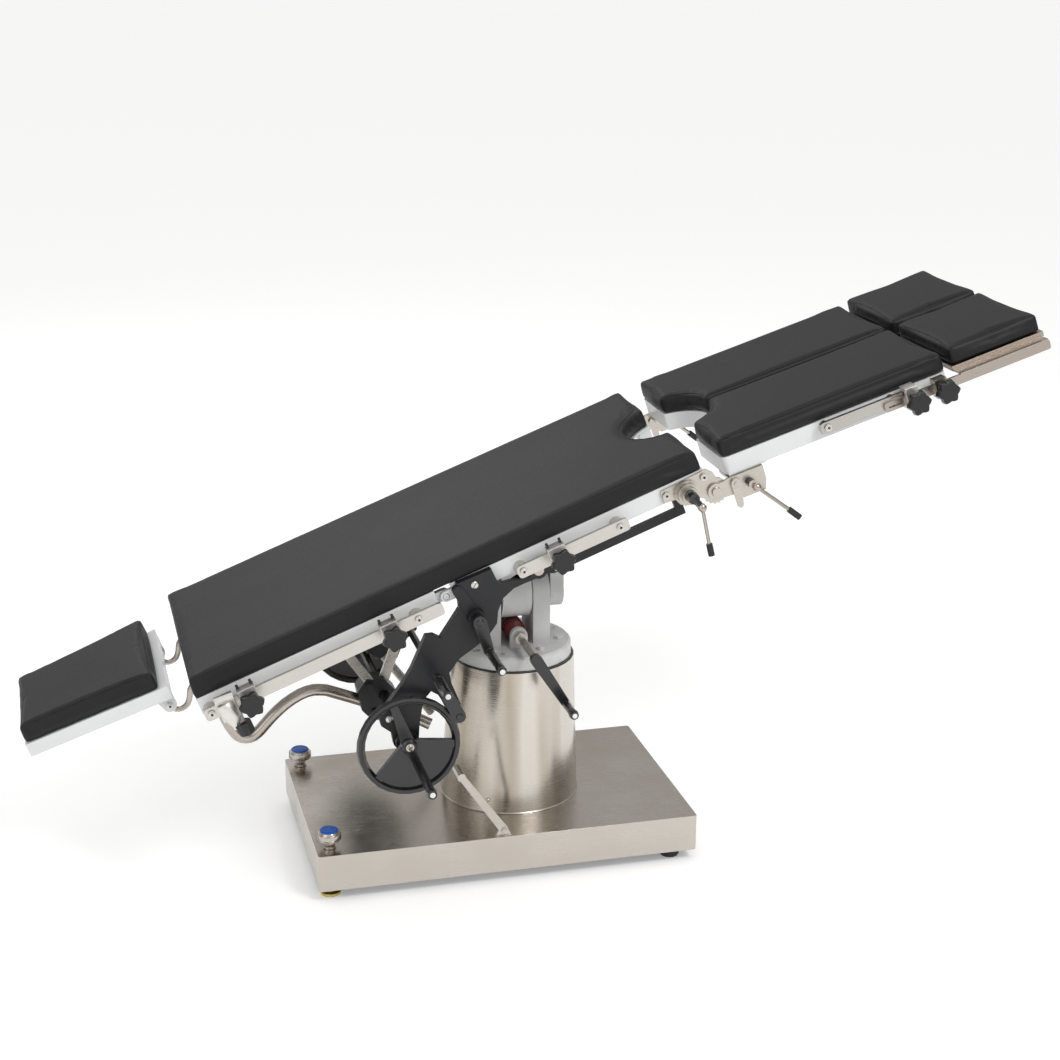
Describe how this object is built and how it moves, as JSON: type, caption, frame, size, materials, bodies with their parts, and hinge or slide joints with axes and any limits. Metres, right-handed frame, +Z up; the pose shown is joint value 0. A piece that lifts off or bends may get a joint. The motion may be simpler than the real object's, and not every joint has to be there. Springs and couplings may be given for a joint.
{
  "type": "operating table",
  "caption": "Surgical operating table with a tilting sectional padded top, split leg sections, handwheels and cranks, on a lifting column and box base",
  "frame": {"origin": "centre line of the column at the underside of the base box", "axes": "+X from the head end to the foot end, +Y away from the operator's cranks, +Z up"},
  "size_m": [1.9149, 0.847, 1.0595],
  "materials": {
    "stainless_sheet": "satin brushed stainless",
    "chassis_grey": "satin dark paint",
    "chromed": "polished",
    "zinc": "yellow zinc passivated",
    "white_paint": "satin white enamel",
    "grey_cast": "fine cast texture, painted light grey",
    "dark_cast": "dark grey painted casting",
    "black_metal": "semi-gloss black",
    "black_plastic": "semi-gloss black",
    "black_upholstery": "charcoal synthetic leather"
  },
  "bodies": {
    "base": {"base_cover": "stainless_sheet", "chassis_plate": "chassis_grey", "column_cover": "stainless_sheet", "column_guide": "black_metal"},
    "jack_screw_near": {"jack_screw_near": "chromed"},
    "jack_foot_near": {"jack_foot_near": "zinc"},
    "jack_screw_far": {"jack_screw_far": "chromed"},
    "jack_foot_far": {"jack_foot_far": "zinc"},
    "pump_pedal": {"pump_pedal": "stainless_sheet"},
    "column_head": {"column_head": "grey_cast"},
    "saddle": {"saddle": "grey_cast"},
    "tilt_crank": {"tilt_crank": "black_metal"},
    "seat": {"seat_frame": "white_paint", "casting_near": "dark_cast", "casting_far": "dark_cast", "hinge_plate_near": "stainless_sheet", "hinge_plate_far": "stainless_sheet", "shaft_hanger": "dark_cast", "rest_tube": "chromed", "seat_pad": "black_upholstery", "pad_fold": "black_upholstery"},
    "handwheels": {"handwheels": "black_metal"},
    "crank_a": {"crank_a": "black_metal"},
    "back": {"back_frame": "white_paint", "back_pad": "black_upholstery"},
    "crank_b": {"crank_b": "black_metal"},
    "back_gearbox": {"back_gearbox": "dark_cast"},
    "back_screw": {"back_screw": "stainless_sheet"},
    "head_rods": {"head_rods": "chromed"},
    "head": {"head_frame": "white_paint", "head_pad": "black_upholstery"},
    "rail_clamp_1": {"rail_clamp_1": "chromed"},
    "clamp_knob_1": {"clamp_knob_1": "black_plastic"},
    "rail_clamp_2": {"rail_clamp_2": "chromed"},
    "clamp_knob_2": {"clamp_knob_2": "black_plastic"},
    "rail_clamp_3": {"rail_clamp_3": "chromed"},
    "clamp_knob_3": {"clamp_knob_3": "black_plastic"},
    "socket_clamp": {"socket_clamp": "chromed"},
    "leg_bracket_near": {"leg_bracket_near": "stainless_sheet"},
    "leg_near": {"leg_frame_near": "white_paint", "leg_pad_near": "black_upholstery", "leg_clamp_near": "stainless_sheet"},
    "pawl_near": {"ratchet_pawl_near": "stainless_sheet"},
    "hub_lever_near": {"hub_lever_near": "black_metal"},
    "swing_lever_near": {"swing_lever_near": "black_metal"},
    "foot_near": {"foot_plate_near": "stainless_sheet", "foot_pad_near": "black_upholstery"},
    "rail_knob_near": {"rail_knob_near": "black_plastic"},
    "foot_knob_near": {"foot_knob_near": "black_plastic"},
    "leg_bracket_far": {"leg_bracket_far": "stainless_sheet"},
    "leg_far": {"leg_frame_far": "white_paint", "leg_pad_far": "black_upholstery", "leg_clamp_far": "stainless_sheet"},
    "pawl_far": {"ratchet_pawl_far": "stainless_sheet"},
    "hub_lever_far": {"hub_lever_far": "black_metal"},
    "swing_lever_far": {"swing_lever_far": "black_metal"},
    "foot_far": {"foot_plate_far": "stainless_sheet", "foot_pad_far": "black_upholstery"},
    "rail_knob_far": {"rail_knob_far": "black_plastic"},
    "foot_knob_far": {"foot_knob_far": "black_plastic"}
  },
  "joints": [
    {"name": "jack_screw_near_turn", "type": "hinge", "parent": "base", "child": "jack_screw_near", "pos_m": [-0.396, -0.19, 0.05], "axis": [0, 0, 1], "range_deg": [-1080, 540]},
    {"name": "jack_foot_near_slide", "type": "slide", "parent": "base", "child": "jack_foot_near", "axis": [0, 0, 1], "range_m": [-0.006, 0.003]},
    {"name": "jack_screw_far_turn", "type": "hinge", "parent": "base", "child": "jack_screw_far", "pos_m": [-0.396, 0.19, 0.05], "axis": [0, 0, 1], "range_deg": [-1080, 540]},
    {"name": "jack_foot_far_slide", "type": "slide", "parent": "base", "child": "jack_foot_far", "axis": [0, 0, 1], "range_m": [-0.006, 0.003]},
    {"name": "pump_pedal_press", "type": "hinge", "parent": "base", "child": "pump_pedal", "pos_m": [-0.067, -0.2205, 0.086], "axis": [0, -1, 0], "range_deg": [0, 45], "stiffness_Nm_per_rad": 2, "springref_deg": -28.65},
    {"name": "column_lift", "type": "slide", "parent": "base", "child": "column_head", "axis": [0, 0, 1], "range_m": [0, 0.2]},
    {"name": "lateral_tilt", "type": "hinge", "parent": "column_head", "child": "saddle", "pos_m": [0.002, 0, 0.484], "axis": [1, 0, 0], "range_deg": [-15, 15]},
    {"name": "tilt_crank_turn", "type": "hinge", "parent": "column_head", "child": "tilt_crank", "pos_m": [0.002, 0, 0.412], "axis": [0, 1, 0], "range_deg": [-1080, 1080]},
    {"name": "table_tilt", "type": "hinge", "parent": "saddle", "child": "seat", "pos_m": [-0.01, 0, 0.6095], "axis": [0, 1, 0], "range_deg": [0, 43.2]},
    {"name": "handwheel_turn", "type": "hinge", "parent": "seat", "child": "handwheels", "pos_m": [-0.25879, 0, 0.30327], "axis": [0, 1, 0], "range_deg": [0, 2160]},
    {"name": "crank_a_turn", "type": "hinge", "parent": "seat", "child": "crank_a", "pos_m": [-0.12805, -0.25, 0.53237], "axis": [0, 1, 0], "continuous": true},
    {"name": "back_raise", "type": "hinge", "parent": "seat", "child": "back", "pos_m": [-0.17825, 0, 0.56755], "axis": [0, 1, 0], "range_deg": [0, 75], "deforming": ["pad_fold"]},
    {"name": "crank_b_turn", "type": "hinge", "parent": "seat", "child": "crank_b", "pos_m": [-0.17226, 0, 0.36489], "axis": [0, 1, 0], "range_deg": [0, 3600]},
    {"name": "gearbox_swing", "type": "hinge", "parent": "seat", "child": "back_gearbox", "pos_m": [-0.17226, 0.18, 0.36489], "axis": [0, 1, 0], "range_deg": [0, 27]},
    {"name": "screw_travel", "type": "slide", "parent": "back_gearbox", "child": "back_screw", "axis": [-0.592, 0, 0.8059], "range_m": [0, 0.171]},
    {"name": "head_extend", "type": "slide", "parent": "back", "child": "head_rods", "axis": [-0.9318, 0, -0.3631], "range_m": [0, 0.055]},
    {"name": "head_tip", "type": "hinge", "parent": "head_rods", "child": "head", "pos_m": [-0.6729, 0, 0.3662], "axis": [0, 1, 0], "range_deg": [-90, 45]},
    {"name": "rail_clamp_1_slide", "type": "slide", "parent": "back", "child": "rail_clamp_1", "axis": [0.9318, 0, 0.3631], "range_m": [-0.004, 0.2]},
    {"name": "clamp_knob_1_turn", "type": "hinge", "parent": "rail_clamp_1", "child": "clamp_knob_1", "pos_m": [-0.5415, -0.276, 0.42009], "axis": [0, -1, 0], "range_deg": [0, 360]},
    {"name": "rail_clamp_2_slide", "type": "slide", "parent": "back", "child": "rail_clamp_2", "axis": [0.9318, 0, 0.3631], "range_m": [-0.22, 0.02]},
    {"name": "clamp_knob_2_turn", "type": "hinge", "parent": "rail_clamp_2", "child": "clamp_knob_2", "pos_m": [-0.28527, -0.276, 0.51994], "axis": [0, -1, 0], "range_deg": [0, 360]},
    {"name": "rail_clamp_3_slide", "type": "slide", "parent": "seat", "child": "rail_clamp_3", "axis": [0.9318, 0, 0.3631], "range_m": [-0.035, 0.09]},
    {"name": "clamp_knob_3_turn", "type": "hinge", "parent": "rail_clamp_3", "child": "clamp_knob_3", "pos_m": [0.02221, -0.276, 0.63976], "axis": [0, -1, 0], "range_deg": [0, 360]},
    {"name": "socket_clamp_slide", "type": "slide", "parent": "back", "child": "socket_clamp", "axis": [0.9318, 0, 0.3631], "range_m": [0, 0.003]},
    {"name": "leg_raise_near", "type": "hinge", "parent": "seat", "child": "leg_bracket_near", "pos_m": [0.32668, -0.24, 0.73426], "axis": [0, -1, 0], "range_deg": [-86.8, 3.2]},
    {"name": "leg_swing_near", "type": "hinge", "parent": "leg_bracket_near", "child": "leg_near", "pos_m": [0.38056, -0.214, 0.76899], "axis": [0.3103, 0, -0.9506], "range_deg": [0, 90]},
    {"name": "pawl_lift_near", "type": "hinge", "parent": "leg_bracket_near", "child": "pawl_near", "pos_m": [0.36282, -0.24, 0.74921], "axis": [0, -1, 0], "range_deg": [0, 12], "stiffness_Nm_per_rad": 0.1, "springref_deg": -22.92},
    {"name": "hub_lever_turn_near", "type": "hinge", "parent": "seat", "child": "hub_lever_near", "pos_m": [0.27024, -0.2735, 0.73588], "axis": [0, 1, 0], "range_deg": [0, 90]},
    {"name": "swing_lever_turn_near", "type": "hinge", "parent": "leg_bracket_near", "child": "swing_lever_near", "pos_m": [0.39128, -0.246, 0.74904], "axis": [0, 1, 0], "range_deg": [0, 70]},
    {"name": "foot_extend_near", "type": "slide", "parent": "leg_near", "child": "foot_near", "axis": [0.9506, 0, 0.3103], "range_m": [-0.006, 0.036]},
    {"name": "rail_knob_turn_near", "type": "hinge", "parent": "leg_near", "child": "rail_knob_near", "pos_m": [0.69418, -0.2785, 0.89421], "axis": [0, -1, 0], "range_deg": [0, 360]},
    {"name": "foot_knob_turn_near", "type": "hinge", "parent": "foot_near", "child": "foot_knob_near", "pos_m": [0.75027, -0.2785, 0.91252], "axis": [0, -1, 0], "range_deg": [0, 360]},
    {"name": "leg_raise_far", "type": "hinge", "parent": "seat", "child": "leg_bracket_far", "pos_m": [0.32668, 0.24, 0.73426], "axis": [0, -1, 0], "range_deg": [-86.8, 3.2]},
    {"name": "leg_swing_far", "type": "hinge", "parent": "leg_bracket_far", "child": "leg_far", "pos_m": [0.38056, 0.214, 0.76899], "axis": [-0.3103, 0, 0.9506], "range_deg": [0, 90]},
    {"name": "pawl_lift_far", "type": "hinge", "parent": "leg_bracket_far", "child": "pawl_far", "pos_m": [0.36282, 0.24, 0.74921], "axis": [0, -1, 0], "range_deg": [0, 12], "stiffness_Nm_per_rad": 0.1, "springref_deg": -22.92},
    {"name": "hub_lever_turn_far", "type": "hinge", "parent": "seat", "child": "hub_lever_far", "pos_m": [0.27024, 0.2735, 0.73588], "axis": [0, 1, 0], "range_deg": [0, 90]},
    {"name": "swing_lever_turn_far", "type": "hinge", "parent": "leg_bracket_far", "child": "swing_lever_far", "pos_m": [0.39128, 0.246, 0.74904], "axis": [0, 1, 0], "range_deg": [0, 70]},
    {"name": "foot_extend_far", "type": "slide", "parent": "leg_far", "child": "foot_far", "axis": [0.9506, 0, 0.3103], "range_m": [-0.006, 0.036]},
    {"name": "rail_knob_turn_far", "type": "hinge", "parent": "leg_far", "child": "rail_knob_far", "pos_m": [0.69418, 0.2785, 0.89421], "axis": [0, 1, 0], "range_deg": [0, 360]},
    {"name": "foot_knob_turn_far", "type": "hinge", "parent": "foot_far", "child": "foot_knob_far", "pos_m": [0.75027, 0.2785, 0.91252], "axis": [0, 1, 0], "range_deg": [0, 360]}
  ],
  "couplings": [
    {"joint": "jack_foot_near_slide", "follows": "jack_screw_near_turn", "m_per_rad": 0.000318},
    {"joint": "jack_foot_far_slide", "follows": "jack_screw_far_turn", "m_per_rad": 0.000318},
    {"joint": "tilt_crank_turn", "follows": "lateral_tilt", "ratio": 72},
    {"joint": "handwheel_turn", "follows": "table_tilt", "ratio": 50},
    {"joint": "crank_b_turn", "follows": "back_raise", "ratio": 48},
    {"joint": "gearbox_swing", "follows": "back_raise", "ratio": 0.3504},
    {"joint": "screw_travel", "follows": "back_raise", "m_per_rad": 0.12939}
  ]
}
